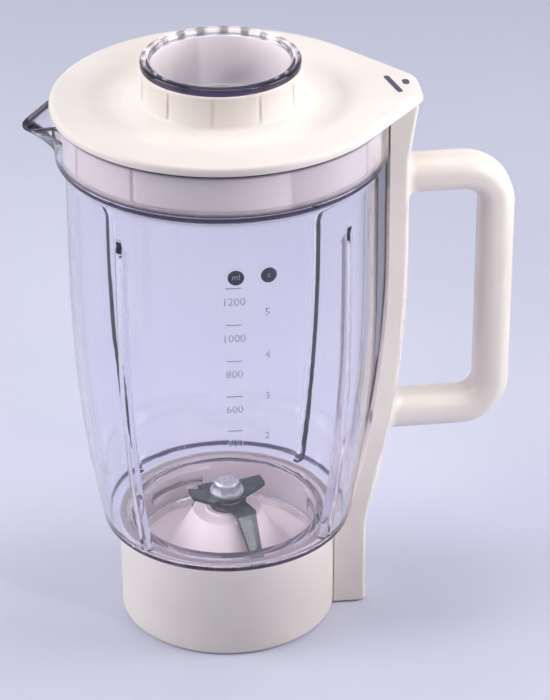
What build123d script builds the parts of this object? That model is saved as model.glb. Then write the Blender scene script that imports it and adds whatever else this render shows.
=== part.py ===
from build123d import *

import os
from math import acos, asin, cos, degrees, radians, sin, sqrt, tan

# Liquidiser jar: a clear goblet with lid, filler cap, handle, blade unit and base.
# Millimetres, +Z up, origin on the jar's axis at the foot of the base, handle towards +X, spout towards -X.

# Clearances
running_gap = 0.3
fit_gap = 0.1
bearing_gap = 0.04
overlap = 0.5
overcut = 1.0

# Goblet
foot_height = 44.2
body_height = 166.0
band_height = 19.5
body_radius = 62.0
body_arc = 550.0
widest_height = 109.0
mouth_step = 4.0
goblet_wall = 2.6
foot_round = 2.5
shoulder_rise = 3.0
ledge_rise = 1.0
rim_round = 0.9

# Neck of the goblet and its bayonet
neck_wall = 2.8
neck_depth = 15.5
lug_count = 3
lug_reach = 1.6
lug_height = 4.0
lug_drop = 6.5
lug_angle = 40.0
catch_angle = 52.0
catch_height = 3.0

# Spout
spout_reach = 12.5
spout_tip_round = 8.0
spout_foot_round = 3.0
spout_half_angle = 39.0
spout_wall = 2.2
spout_depth = 8.0
spout_foot_inset = 1.0
spout_droop = 4.7
spout_flare = 1.7
spout_sections = 7

# Inner ribs of the goblet
rib_angle = 42.0
rib_width = 3.0
rib_depth = 3.4
rib_drop = 18.0
rib_tip = 6.0

# Lid
lid_overhang = 1.5
lid_thickness = 3.6
lid_edge_round = 2.4
skirt_wall = 2.4
skirt_gap = 0.4
moat_depth = 2.0
moat_gap = 2.0
moat_width = 16.0
collar_height = 12.8
collar_drop = 12.0
collar_bore = 29.6
collar_wall = 2.4
collar_draft = 0.6
collar_round = 1.2
collar_groove_count = 11
collar_groove_width = 1.5
collar_groove_depth = 0.6
collar_groove_start = -102.0
skirt_groove_sets = 3
skirt_groove_spread = 28.0
skirt_groove_start = -156.0
skirt_groove_width = 1.8
skirt_groove_depth = 0.7

# Locking tab of the lid and the ramp under it
tab_overhang = 1.8
tab_half_width = 15.5
tab_corner = 9.5
unlock_angle = 8.0
rod_travel = 1.4

# Lid seal
seal_height = 2.5
seal_width = 2.3
nose_drop = 2.0

# Filler cap
cap_rim_inset = 0.4
cap_rim_height = 3.0
cap_rim_round = 1.0
cap_depth = 25.0
cap_wall = 1.8
cap_gap = 0.5
cap_draft = 1.2

# Spine of the handle, as offsets outwards from its inner face
spine_inset = 0.4
spine_bend_height = 117.5
spine_arc = 450.0
spine_return_arc = 60.0
spine_width = 22.0
cover_depth = 5.4
shell_depth = 2.6
spine_edge_round = 2.0
spine_foot = 1.0
tail_gap = 4.4
post_flare = 3.6
post_height = 24.0

# Grip of the handle
grip_upper_drop = 34.6
grip_lower_height = 43.3
grip_upper_room = 37.0
grip_lower_room = 36.4
grip_depth = 14.2
grip_width = 18.0
grip_corner = 6.4
grip_upper_bend = 14.0
grip_lower_bend = 13.5
grip_root_round = 4.0

# Tongue of the goblet in the spine cover
tongue_width = 6.0
tongue_depth = 1.7
tongue_low_height = 24.0
tongue_top_drop = 4.5

# Interlock rod and its spring
rod_width = 6.0
rod_thickness = 1.6
rod_offset = 3.5
rod_back_room = 0.8
rod_side_room = 0.5
rod_pin_radius = 1.0
rod_pin_length = 14.8
rod_foot_lift = 0.5
spring_radius = 2.0
spring_wire = 0.7
spring_turns = 6
spring_room = 0.45
spine_floor = 3.0

# Handle screws
screw_spread = 7.0
screw_radius = 1.4
screw_head_radius = 2.6
screw_head_height = 1.8
screw_length = 13.5
screw_well = 3.0

# Base collar
base_step = 6.6
base_draft = 0.4
base_wall = 3.2
base_edge_round = 2.0
socket_depth = 13.0
socket_stop = 3.4
shelf_thickness = 2.5
shelf_room = 1.5
chamber_wall = 2.8
chamber_gap = 0.4

# Blade carrier
carrier_rim = 3.0
ring_height = 3.0
dome_foot_radius = 27.5
dome_top_radius = 14.2
dome_bulge = 1.0
dome_height = 19.5
carrier_wall = 2.4
boss_wall = 2.0
boss_rise = 1.5
boss_foot_lift = 1.5
bush_wall = 2.0
bush_length = 7.5
shaft_seal_wall = 3.0
shaft_seal_height = 3.0

# Shaft, blades and coupling
shaft_radius = 4.0
shaft_shoulder_width = 2.5
shaft_shoulder_height = 1.5
shaft_flat_step = 0.4
shaft_flat_width = 5.6
shaft_stud_step = 1.1
blade_thickness = 1.5
blade_hub_width = 4.0
blade_bend_radius = 3.0
blade_bevel = 2.4
blade_land = 0.4
upper_blade_bend = 8.0
upper_blade_span = 16.0
upper_blade_angle = 18.0
upper_blade_turn = 10.0
upper_blade_root = 15.0
upper_blade_tip = 9.0
lower_blade_bend = 14.5
lower_blade_span = 27.6
lower_blade_angle = -54.0
lower_blade_turn = -69.0
lower_blade_root = 12.0
lower_blade_tip = 6.0
spacer_height = 1.5
spacer_width = 2.5
washer_height = 1.0
washer_width = 3.0
nut_width = 10.0
nut_height = 4.2
nut_crown = 1.0
nut_chamfer = 0.8
thrust_washer_height = 0.8
thrust_washer_width = 2.8
clip_height = 0.8
clip_width = 2.2
clip_groove_depth = 0.7
clip_gap_angle = 70.0
coupling_radius = 15.0
coupling_plate = 4.0
coupling_floor = 1.0
dog_count = 6
dog_inner_radius = 9.0
dog_height = 3.4
dog_angle = 28.0

# Levels above the table
step_level = foot_height + body_height
rim_level = step_level + band_height
ledge_level = step_level + ledge_rise
widest_level = foot_height + widest_height
neck_bottom = foot_height - neck_depth
lid_under = rim_level + running_gap
lid_top = lid_under + lid_thickness
collar_top = lid_top + collar_height
skirt_level = ledge_level + seal_height
spine_top = lid_under - running_gap
spine_bend_level = foot_height + spine_bend_height
carrier_top = neck_bottom - ring_height
shelf_top = carrier_top - carrier_rim
dome_top = carrier_top + dome_height
boss_top = dome_top + boss_rise
boss_foot = carrier_top - boss_foot_lift
shoulder_level = boss_top + running_gap
lower_blade_level = shoulder_level + shaft_shoulder_height
spacer_level = lower_blade_level + blade_thickness
upper_blade_level = spacer_level + spacer_height
washer_level = upper_blade_level + blade_thickness
nut_level = washer_level + washer_height
thrust_level = boss_foot - fit_gap - thrust_washer_height
clip_level = thrust_level - clip_height
coupling_top = clip_level - running_gap
coupling_bottom = coupling_top - coupling_plate
grip_upper_level = rim_level - grip_upper_drop
grip_lower_level = foot_height + grip_lower_height

# Radii and offsets that follow from the sizes above
mouth_radius = body_radius + mouth_step
mouth_bore = mouth_radius - goblet_wall
foot_radius = body_radius - body_arc + sqrt(body_arc**2 - (widest_height - foot_round) ** 2)
spout_root = mouth_radius - spout_depth
lid_radius = mouth_radius + lid_overhang
skirt_radius = mouth_bore - skirt_gap
nose_radius = skirt_radius - seal_width - fit_gap
collar_radius = collar_bore + collar_wall
cap_rim_radius = collar_radius - cap_rim_inset
moat_inner_radius = collar_radius + moat_gap
moat_outer_radius = moat_inner_radius + moat_width
base_top_radius = foot_radius - base_step
base_bottom_radius = base_top_radius - base_draft
socket_radius = base_bottom_radius - base_wall
chamber_radius = base_top_radius - chamber_wall
lug_radius = chamber_radius - chamber_gap
neck_radius = lug_radius - lug_reach
neck_bore = neck_radius - neck_wall
shelf_bore = dome_foot_radius + shelf_room
spine_face = mouth_radius - spine_inset
shell_face = cover_depth + shell_depth
spine_outer = spine_face + shell_face
tail_face = base_top_radius + tail_gap
spine_turn = degrees(acos(1 - (spine_face - tail_face) / (spine_arc + spine_return_arc)))
tab_reach = spine_outer + post_flare + tab_overhang
grip_upper_reach = spine_outer + grip_upper_room
grip_lower_reach = spine_outer + grip_lower_room
rod_outer = rod_offset + rod_thickness
rod_middle = rod_offset + rod_thickness / 2
bush_radius = shaft_radius + bush_wall
shaft_seal_radius = shaft_radius + shaft_seal_wall
boss_radius = shaft_seal_radius + boss_wall
shaft_shoulder_radius = shaft_radius + shaft_shoulder_width
shaft_flat_radius = shaft_radius - shaft_flat_step
shaft_stud_radius = shaft_radius - shaft_stud_step
blade_hub_radius = shaft_radius + blade_hub_width
spacer_radius = shaft_radius + spacer_width
washer_radius = shaft_radius + washer_width
thrust_washer_radius = shaft_radius + thrust_washer_width
clip_radius = shaft_radius + clip_width
clip_groove_radius = shaft_radius - clip_groove_depth
lug_top = foot_height - lug_drop
half_turn_drop = 1 - cos(radians(45))


def body_at(level, offset=0.0):
    """Radius of the goblet's outer wall at a level, moved outwards by an offset."""
    arc = body_arc + offset
    below = max(widest_level - level, 0.0)
    return body_radius - body_arc + sqrt(arc**2 - below**2)


def body_edge(low, high, offset=0.0):
    """Arc of the goblet's outer wall between two levels, moved outwards by an offset."""
    middle = (low + high) / 2
    return ThreePointArc(
        (body_at(low, offset), low),
        (body_at(middle, offset), middle),
        (body_at(high, offset), high),
    )


def side_face(lines):
    """Face in the plane of the handle from lines given as distance from the axis and level."""
    return make_face([Plane.XZ * edge for line in lines for edge in line.edges()])


def turned(*lines):
    """Solid of revolution about the jar's axis from lines given as radius and level."""
    return revolve(side_face(lines), Axis.Z)


def ring(inner, outer, low, high):
    """Plain ring about the jar's axis."""
    outline = [(inner, low), (outer, low), (outer, high), (inner, high)]
    return turned(Polyline(*outline, close=True))


def sector(inner, outer, low, high, start, angle):
    """Part of a ring about the jar's axis, from a start angle onwards."""
    outline = [(inner, low), (outer, low), (outer, high), (inner, high)]
    face = side_face([Polyline(*outline, close=True)])
    return Rot(0, 0, start) * revolve(face, Axis.Z, angle)


def disc(radius, low, high):
    """Plain cylinder on the jar's axis between two levels."""
    return Pos(0, 0, low) * extrude(Circle(radius), high - low)


def spine_edges(offset, low=spine_foot):
    """Side view of the spine from top to foot: straight, a long arc, a return arc, straight."""
    turn = radians(spine_turn)
    arc = spine_arc + offset
    back = spine_return_arc - offset
    centre_x = spine_face - spine_arc
    far_x = centre_x + (spine_arc + spine_return_arc) * cos(turn)
    far_z = spine_bend_level - (spine_arc + spine_return_arc) * sin(turn)
    top = (spine_face + offset, spine_top)
    bend = (spine_face + offset, spine_bend_level)
    half = turn / 2
    middle = (centre_x + arc * cos(half), spine_bend_level - arc * sin(half))
    change = (centre_x + arc * cos(turn), spine_bend_level - arc * sin(turn))
    back_middle = (far_x - back * cos(half), far_z + back * sin(half))
    tail = (far_x - back, far_z)
    foot = (far_x - back, low)
    return [
        Line(top, bend),
        ThreePointArc(bend, middle, change),
        ThreePointArc(change, back_middle, tail),
        Line(tail, foot),
    ]


def spine_strip(inner, outer, width, low=spine_foot):
    """Strip of the spine between two offsets, centred on the plane of the handle."""
    inner_edges = spine_edges(inner, low)
    outer_edges = spine_edges(outer, low)
    ends = [
        Line(inner_edges[0] @ 0, outer_edges[0] @ 0),
        Line(inner_edges[-1] @ 1, outer_edges[-1] @ 1),
    ]
    return extrude(side_face(inner_edges + outer_edges + ends), width / 2, both=True)


def slab(low, high):
    """Large block between two levels, used to keep or cut a range of heights."""
    size = 4 * lid_radius
    return Pos(0, 0, (low + high) / 2) * Box(size, size, high - low)


def spine_plane(level, across):
    """Plane on the spine's inner face at a level, with its normal pointing out of the jar."""
    slope = asin(max(spine_bend_level - level, 0.0) / spine_arc)
    normal = Vector(cos(slope), 0, -sin(slope))
    origin = Vector(spine_face - spine_arc, across, spine_bend_level) + normal * spine_arc
    if level > spine_bend_level:
        origin = Vector(spine_face, across, level)
    return Plane(origin=origin, x_dir=(0, 1, 0), z_dir=normal)


def spout_wedge(wall, low, high, foot_lift):
    """Wedge of the spout, pulled in by a wall: it flares out up to the tip's level and is upright above."""
    tip_level = rim_level - spout_droop

    def section(level):
        angle = radians(spout_half_angle)
        share = (level - low) / (tip_level - low)
        reach = mouth_radius - foot_lift + (spout_reach + foot_lift) * share**spout_flare
        tip_round = spout_foot_round + (spout_tip_round - spout_foot_round) * share
        tip = tip_round - wall
        centre = reach - tip_round
        start = (-centre - tip * sin(angle), tip * cos(angle))
        root = start[1] + (-spout_root - start[0]) * tan(angle)
        lines = [
            ThreePointArc(start, (-centre - tip, 0), (start[0], -start[1])),
            Polyline((start[0], -start[1]), (-spout_root, -root), (-spout_root, root), start),
        ]
        return Pos(0, 0, level) * make_face(lines)

    step = (tip_level - low) / (spout_sections - 1)
    flare = loft([section(low + step * index) for index in range(spout_sections)])
    return flare + extrude(section(tip_level), high - tip_level)


def make_goblet():
    """Clear goblet: turned wall, spout, inner ribs, bayonet lugs and the tongue for the spine."""
    foot_arc_level = foot_height + foot_round
    foot_edge = body_at(foot_arc_level)
    slant = foot_round * half_turn_drop
    floor_level = foot_height + goblet_wall
    floor_bore = body_at(floor_level, -goblet_wall)
    inner_body = body_radius - goblet_wall
    wall = turned(
        Polyline((neck_bore, neck_bottom), (neck_radius, neck_bottom), (neck_radius, foot_height)),
        Line((neck_radius, foot_height), (foot_edge - foot_round, foot_height)),
        ThreePointArc(
            (foot_edge - foot_round, foot_height),
            (foot_edge - slant, foot_height + slant),
            (foot_edge, foot_arc_level),
        ),
        body_edge(foot_arc_level, widest_level),
        Polyline(
            (body_radius, widest_level),
            (body_radius, step_level - shoulder_rise),
            (mouth_radius, step_level),
            (mouth_radius, rim_level),
            (mouth_bore, rim_level),
            (mouth_bore, ledge_level),
            (inner_body, ledge_level),
            (inner_body, widest_level),
        ),
        body_edge(floor_level, widest_level, -goblet_wall),
        Polyline((floor_bore, floor_level), (neck_bore, floor_level), (neck_bore, neck_bottom)),
    )
    wall = fillet(wall.edges().group_by(Axis.Z)[-1], rim_round)
    hollow = disc(mouth_bore, ledge_level, rim_level + overcut)
    spout = spout_wedge(0.0, step_level, rim_level, spout_foot_inset) - hollow
    goblet = wall + spout
    inner_inset = spout_foot_inset + spout_wall
    goblet -= spout_wedge(spout_wall, ledge_level + spout_wall, rim_level + overcut, inner_inset)
    lip_start = mouth_radius + spout_foot_inset
    lip_end = mouth_radius + 2 * spout_reach
    lip_slope = spout_droop / (spout_reach - spout_foot_inset)
    lip = Polyline(
        (-lip_start, rim_level),
        (-lip_end, rim_level - lip_slope * (lip_end - lip_start)),
        (-lip_end, rim_level + overcut),
        (-lip_start, rim_level + overcut),
        close=True,
    )
    goblet -= extrude(side_face([lip]), lid_radius, both=True)
    rib_top = step_level - rib_drop
    rib_root = goblet_wall - overlap
    rib_face = goblet_wall + rib_depth
    rib_low = floor_level - overlap
    rib_lines = [
        body_edge(rib_low, widest_level, -rib_root),
        Line((body_radius - rib_root, widest_level), (body_radius - rib_root, rib_top)),
        Line((body_radius - rib_root, rib_top), (body_radius - rib_face, rib_top - rib_tip)),
        Line((body_radius - rib_face, rib_top - rib_tip), (body_radius - rib_face, widest_level)),
        body_edge(rib_low, widest_level, -rib_face),
        Line((body_at(rib_low, -rib_face), rib_low), (body_at(rib_low, -rib_root), rib_low)),
    ]
    rib = extrude(side_face(rib_lines), rib_width / 2, both=True)
    for side in (-1, 1):
        goblet += Rot(0, 0, side * rib_angle) * rib
        goblet += Rot(0, 0, 180 + side * rib_angle) * rib
    for index in range(lug_count):
        start = index * 360 / lug_count - lug_angle / 2
        lug = sector(neck_radius - overlap, lug_radius, lug_top - lug_height, lug_top, start, lug_angle)
        goblet += lug
    tongue_low = foot_height + tongue_low_height
    tongue_high = step_level - tongue_top_drop
    tongue_root = spine_face - body_radius + goblet_wall
    tongue = spine_strip(-tongue_root, tongue_depth, tongue_width) & slab(tongue_low, tongue_high)
    goblet += tongue - turned_core()
    return goblet


def turned_core():
    """Middle of the goblet's wall, used to trim what grows out of the wall."""
    inset = goblet_wall / 2
    low = foot_height
    return turned(
        body_edge(low, widest_level, -inset),
        Polyline(
            (body_radius - inset, widest_level),
            (body_radius - inset, rim_level),
            (0, rim_level),
            (0, low),
            (body_at(low, -inset), low),
        ),
    )


def outer_envelope(gap):
    """Goblet and base as one solid of revolution, grown by a gap, used to clear the spine."""
    foot_edge = body_at(foot_height, gap)
    return turned(
        Polyline((0, -gap), (base_bottom_radius + gap, -gap), (base_top_radius + gap, foot_height)),
        Line((base_top_radius + gap, foot_height), (foot_edge, foot_height - gap)),
        Line((foot_edge, foot_height - gap), (foot_edge, foot_height)),
        body_edge(foot_height, widest_level, gap),
        Polyline(
            (body_radius + gap, widest_level),
            (body_radius + gap, step_level - shoulder_rise - gap),
            (mouth_radius + gap, step_level - gap),
            (mouth_radius + gap, rim_level + gap),
            (0, rim_level + gap),
            (0, -gap),
        ),
    )


def screw_planes():
    """Planes of the four handle screws on the spine's inner face."""
    planes = []
    for level in (grip_upper_level, grip_lower_level):
        for side in (-1, 1):
            planes.append(spine_plane(level, side * screw_spread))
    return planes


def rod_cavity():
    """Room for the interlock rod, its pin and its spring inside the spine."""
    room_width = rod_width + 2 * rod_side_room
    pin_x = tail_face + rod_middle
    spring_low = spine_foot + spine_floor
    channel_low = spine_foot + rod_foot_lift + rod_pin_length - running_gap
    channel = spine_strip(rod_offset - rod_back_room, cover_depth, room_width, channel_low)
    spring_outer = spring_radius + spring_wire / 2 + spring_room
    pocket = Pos(pin_x, 0, 0) * disc(spring_outer, spring_low, channel_low + rod_travel)
    pin_hole = Pos(pin_x, 0, 0) * disc(rod_pin_radius + running_gap, spine_foot - overcut, spring_low)
    return channel + pocket + pin_hole


def make_spine_cover():
    """Inner half of the spine, grooved for the goblet's tongue and hollow for the rod."""
    cover = spine_strip(0.0, cover_depth, spine_width)
    tail = spine_strip(-2 * tail_gap, 0.0, spine_width) & slab(spine_foot, foot_height - running_gap)
    cover += tail
    cover -= outer_envelope(running_gap)
    groove_low = foot_height + tongue_low_height
    groove_high = step_level - tongue_top_drop
    groove_width = tongue_width + 2 * fit_gap
    groove = spine_strip(-overcut, tongue_depth + fit_gap, groove_width)
    cover -= groove & slab(groove_low - running_gap, groove_high)
    cover -= rod_cavity()
    for plane in screw_planes():
        cover -= plane * extrude(Circle(screw_radius + running_gap), cover_depth + overcut)
        head = Circle(screw_head_radius + running_gap)
        cover -= plane * extrude(head, screw_head_height)
        cover -= plane * extrude(head, -screw_well)
    return cover


def make_handle():
    """Grip and outer wall of the spine in one moulding."""
    shell = spine_strip(cover_depth, shell_face, spine_width)
    skin = spine_strip(shell_face - fit_gap, shell_face + fit_gap, 2 * spine_width).solid()
    outer_edges = shell.edges().filter_by(lambda edge: skin.is_inside(edge @ 0.5))
    shell = fillet(outer_edges.filter_by(Axis.Y, reverse=True), spine_edge_round)
    post_outline = Polyline(
        (spine_face + cover_depth, spine_top),
        (spine_outer + post_flare, spine_top),
        (spine_outer, spine_top - post_height),
        (spine_face + cover_depth, spine_top - post_height),
        close=True,
    )
    post = extrude(side_face([post_outline]), spine_width / 2, both=True)
    flare = post.faces().sort_by(Axis.X)[-1].edges().filter_by(Axis.Y, reverse=True)
    post = fillet(flare, spine_edge_round)
    root = spine_face - spine_width
    path = FilletPolyline(
        (root, grip_upper_level),
        (grip_upper_reach, grip_upper_level),
        (grip_lower_reach, grip_lower_level),
        (root, grip_lower_level),
        radius=[grip_upper_bend, grip_lower_bend],
    )
    section = Plane(origin=(root, 0, grip_upper_level), x_dir=(0, 0, 1), z_dir=(1, 0, 0))
    profile = section * RectangleRounded(grip_depth, grip_width, grip_corner)
    grip = sweep(profile, Plane.XZ * path)
    inside = spine_strip(-2 * spine_width, cover_depth, 2 * spine_width)
    wall = shell + post
    grip -= inside
    handle = wall + grip
    seams = new_edges(wall, grip, combined=handle)
    handle = fillet(seams, grip_root_round)
    handle -= rod_cavity()
    for plane in screw_planes():
        handle -= plane * extrude(Circle(screw_radius + fit_gap / 2), screw_length + fit_gap)
    return handle


def tab_outline():
    """Plan of the lid: a disc with a locking tab drawn out towards the handle."""
    centre = tab_reach - tab_corner
    side = tab_half_width - tab_corner
    round_edge = Circle(lid_radius).edges()
    corners = [Pos(centre, sign * side) * Circle(tab_corner) for sign in (-1, 1)]
    return make_hull(round_edge + corners[0].edges() + corners[1].edges())


def make_lid():
    """Lid: flange with moat, grooved collar and its tube, plug skirt and a ramp under the locking tab."""
    plate = Pos(0, 0, lid_under) * extrude(tab_outline(), lid_thickness)
    plate = fillet(plate.faces().sort_by(Axis.Z)[-1].edges(), lid_edge_round)
    moat_middle = (moat_inner_radius + moat_outer_radius) / 2
    moat = turned(
        Spline(
            (moat_inner_radius, lid_top),
            (moat_middle, lid_top - moat_depth),
            (moat_outer_radius, lid_top),
            tangents=[(1, -0.5), (1, 0.15)],
        ),
        Line((moat_inner_radius, lid_top), (moat_outer_radius, lid_top)),
    )
    collar_slant = collar_round * half_turn_drop
    collar = turned(
        Polyline(
            (collar_bore - overcut, lid_under),
            (collar_radius + collar_draft, lid_under),
            (collar_radius + collar_draft, lid_top),
            (collar_radius, collar_top - collar_round),
        ),
        ThreePointArc(
            (collar_radius, collar_top - collar_round),
            (collar_radius - collar_slant, collar_top - collar_slant),
            (collar_radius - collar_round, collar_top),
        ),
        Polyline(
            (collar_radius - collar_round, collar_top),
            (collar_bore - overcut, collar_top),
            (collar_bore - overcut, lid_under),
        ),
    )
    skirt_bore = skirt_radius - skirt_wall
    nose_bore = nose_radius - skirt_wall
    skirt = ring(skirt_bore, skirt_radius, skirt_level, lid_under)
    nose = ring(nose_bore, nose_radius, skirt_level - nose_drop, lid_under)
    tube = ring(collar_bore - overcut, collar_radius, lid_under - collar_drop, lid_top)
    lid = plate - moat + collar + tube + skirt + nose
    lid -= disc(collar_bore, lid_under - collar_drop - overcut, collar_top + overcut)
    for index in range(collar_groove_count):
        angle = collar_groove_start + index * 360 / collar_groove_count
        height = collar_height - 2 * collar_round
        groove = Box(2 * collar_groove_depth, collar_groove_width, height)
        middle = Pos(collar_radius + collar_draft / 2, 0, lid_top + collar_round + height / 2)
        lid -= Rot(0, 0, angle) * middle * groove
    for index in range(skirt_groove_sets):
        for spread in (0, skirt_groove_spread):
            angle = skirt_groove_start + spread + index * 360 / skirt_groove_sets
            height = lid_under - skirt_level
            groove = Box(2 * skirt_groove_depth, skirt_groove_width, height)
            lid -= Rot(0, 0, angle) * Pos(skirt_radius, 0, skirt_level + height / 2) * groove
    return lid - tab_ramp()


def tab_ramp():
    """Sloping recess under the tab that lets the interlock rod rise as the lid is turned."""
    rod_radius = spine_face + rod_middle
    sweep_reach = rod_radius * sin(radians(unlock_angle))
    slope = rod_travel / sweep_reach
    start = rod_width / 2 + running_gap
    end = -sweep_reach - rod_width / 2 - running_gap
    inner = mouth_radius + running_gap
    outer = rod_radius + rod_thickness
    outline = [(start, lid_under), (end, lid_under), (end, lid_under + slope * (start - end))]
    face = make_face(Plane.YZ * Polyline(*outline, close=True))
    return Pos(inner, 0, 0) * extrude(face, outer - inner, dir=(1, 0, 0))


def make_lid_seal():
    """Soft ring on the nose of the plug skirt, resting on the goblet's ledge."""
    return ring(nose_radius + fit_gap, skirt_radius, ledge_level, skirt_level)


def make_filler_cap():
    """Clear cup with a flanged rim that rests on the lid's collar."""
    top = collar_top + cap_rim_height
    bottom = top - cap_depth
    outer = collar_bore - cap_gap
    cup_bore = outer - cap_wall
    cup = turned(
        Polyline(
            (0, bottom),
            (outer - cap_draft, bottom),
            (outer, collar_top),
            (cap_rim_radius, collar_top),
            (cap_rim_radius, top),
            (cup_bore, top),
            (cup_bore - cap_draft, bottom + cap_wall),
            (0, bottom + cap_wall),
            close=True,
        )
    )
    return fillet(cup.edges().group_by(Axis.Z)[-1], cap_rim_round)


def make_interlock_rod():
    """Strip inside the spine with a pin at its foot."""
    strip_low = spine_foot + rod_foot_lift + rod_pin_length
    strip = spine_strip(rod_offset, rod_outer, rod_width, strip_low)
    pin = disc(rod_pin_radius, spine_foot + rod_foot_lift, strip_low + overcut)
    pin = Pos(tail_face + rod_middle, 0, 0) * pin
    return strip + pin


def make_rod_spring():
    """Coil spring around the rod's pin, between the spine's floor and the strip."""
    low = spine_foot + spine_floor + spring_wire / 2
    high = spine_foot + rod_foot_lift + rod_pin_length - spring_wire / 2
    path = Helix((high - low) / spring_turns, high - low, spring_radius)
    section = Plane(origin=path @ 0, z_dir=path % 0) * Circle(spring_wire / 2)
    return Pos(tail_face + rod_middle, 0, low) * sweep(section, path, is_frenet=True)


def make_handle_screws():
    """Four screws that clamp the spine cover to the handle."""
    screws = []
    for plane in screw_planes():
        head = plane * extrude(Circle(screw_head_radius), screw_head_height)
        shank = plane * extrude(Circle(screw_radius), screw_length)
        screws.append(head + shank)
    return Compound(children=screws)


def base_radius_at(level):
    """Outer radius of the tapered base at a level."""
    return base_bottom_radius + (base_top_radius - base_bottom_radius) * level / foot_height


def make_base_collar():
    """Base ring with a shelf for the blade carrier, bayonet catches and the drive socket."""
    shelf_low = shelf_top - shelf_thickness
    edge_slant = base_edge_round * half_turn_drop
    collar = turned(
        Polyline(
            (base_radius_at(base_edge_round), base_edge_round),
            (base_top_radius, foot_height),
            (chamber_radius, foot_height),
            (chamber_radius, shelf_top),
            (shelf_bore, shelf_top),
            (shelf_bore, shelf_low),
            (socket_radius - socket_stop, shelf_low),
            (socket_radius - socket_stop, socket_depth),
            (socket_radius, socket_depth),
            (socket_radius, 0),
            (base_bottom_radius - base_edge_round, 0),
        ),
        ThreePointArc(
            (base_bottom_radius - base_edge_round, 0),
            (base_bottom_radius - edge_slant, edge_slant),
            (base_radius_at(base_edge_round), base_edge_round),
        ),
    )
    catch_bore = neck_radius + chamber_gap
    for index in range(lug_count):
        start = index * 360 / lug_count - catch_angle / 2
        catch_outer = chamber_radius + overlap
        collar += sector(catch_bore, catch_outer, lug_top, lug_top + catch_height, start, catch_angle)
    return collar


def make_blade_carrier():
    """Floor of the goblet: a flat rim, a domed bearing housing and a boss for the bushes."""
    rim_radius = chamber_radius - running_gap
    dome_low = carrier_top - carrier_rim
    inner_top = dome_top - carrier_wall
    dome = turned(
        Polyline((rim_radius, dome_low), (rim_radius, carrier_top), (dome_foot_radius, carrier_top)),
        SagittaArc((dome_foot_radius, carrier_top), (dome_top_radius, dome_top), dome_bulge),
        Polyline(
            (dome_top_radius, dome_top),
            (boss_radius, dome_top),
            (boss_radius, boss_top),
            (0, boss_top),
            (0, boss_foot),
            (boss_radius, boss_foot),
            (boss_radius, inner_top),
            (dome_top_radius - carrier_wall, inner_top),
            (dome_foot_radius - carrier_wall, dome_low),
            (rim_radius, dome_low),
        ),
    )
    seal_floor = boss_top - shaft_seal_height
    dome -= disc(bush_radius + bearing_gap / 2, boss_foot - overcut, seal_floor)
    dome -= disc(shaft_seal_radius + bearing_gap, seal_floor, boss_top + overcut)
    return dome


def make_bush(low):
    """Plain bearing bush for the drive shaft."""
    return ring(shaft_radius + bearing_gap, bush_radius, low, low + bush_length)


def make_drive_shaft():
    """Shaft with a shoulder under the blades, flats that drive them and a clip groove."""
    low = coupling_bottom + coupling_floor
    flat_top = washer_level
    stud_top = nut_level + nut_height - nut_crown
    shaft = disc(shaft_radius, low, shoulder_level)
    shaft += disc(shaft_shoulder_radius, shoulder_level, lower_blade_level)
    flats = disc(shaft_flat_radius, lower_blade_level, flat_top)
    flat_height = flat_top - lower_blade_level
    flat_box = Box(4 * shaft_radius, shaft_flat_width, flat_height)
    flats &= Pos(0, 0, lower_blade_level + flat_height / 2) * flat_box
    shaft += flats + disc(shaft_stud_radius - fit_gap, flat_top - overlap, stud_top)
    return shaft - ring(clip_groove_radius, shaft_radius + overcut, clip_level, clip_level + clip_height)


def blade_hole():
    """Hole with two flats that fits the shaft."""
    round_hole = disc(shaft_flat_radius + fit_gap, shoulder_level, nut_level)
    return round_hole & Box(4 * shaft_radius, shaft_flat_width + 2 * fit_gap, 2 * nut_level)


def make_blade(level, bend, span, bend_angle, turn, root_width, tip_width):
    """Bent sheet blade with two wings, from its side view and its plan, bevelled along its leading edges."""

    def is_leading(edge):
        middle = edge @ 0.5
        return bend + blade_bend_radius < abs(middle.X) < span - fit_gap and middle.X * middle.Y > 0

    rise = (span - bend) * tan(radians(bend_angle))
    half = blade_thickness / 2
    line = FilletPolyline((-span, rise), (-bend, 0), (bend, 0), (span, rise), radius=blade_bend_radius)
    side = extrude(side_face([offset_outline(line, half)]), root_width, both=True)
    root = root_width / 2
    end = tip_width / 2
    plan = Polyline(
        (span, -end / 2),
        (span, end),
        (bend, root),
        (-bend, end),
        (-span, end / 2),
        (-span, -end),
        (-bend, -root),
        (bend, -end),
        close=True,
    )
    sheet = make_face(plan) + Circle(blade_hub_radius)
    outline = Pos(0, 0, -span) * extrude(sheet, 2 * span)
    blade = side & outline
    leading = blade.edges().filter_by(is_leading).group_by(lambda edge: (edge @ 0.5).X > 0)
    for wing in leading:
        blade -= bevel_cut(wing.sort_by(Axis.Z)[-1], bend_angle)
    return Rot(0, 0, turn) * Pos(0, 0, level + half) * blade - blade_hole()


def bevel_cut(edge, slope):
    """Prism that grinds a blade's wing of a given slope to an edge along its upper leading edge."""
    middle = edge @ 0.5
    outwards = 1 if middle.X > 0 else -1
    upwards = Vector(-outwards * sin(radians(slope)), 0, cos(radians(slope)))
    inwards = (edge % 0.5).cross(upwards)
    if inwards.Y * middle.Y > 0:
        inwards = -inwards
    section = Plane(origin=middle, x_dir=inwards, z_dir=inwards.cross(upwards))
    depth = blade_thickness - blade_land
    outline = Polyline(
        (blade_bevel, 0),
        (0, -depth),
        (-overcut, -depth),
        (-overcut, overcut),
        (blade_bevel, overcut),
        close=True,
    )
    return section * extrude(make_face(outline), edge.length / 2 + fit_gap, both=True)


def offset_outline(line, distance):
    """Closed outline of a strip of even thickness about a line."""
    return offset(line, amount=distance, side=Side.BOTH, closed=True)


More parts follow.
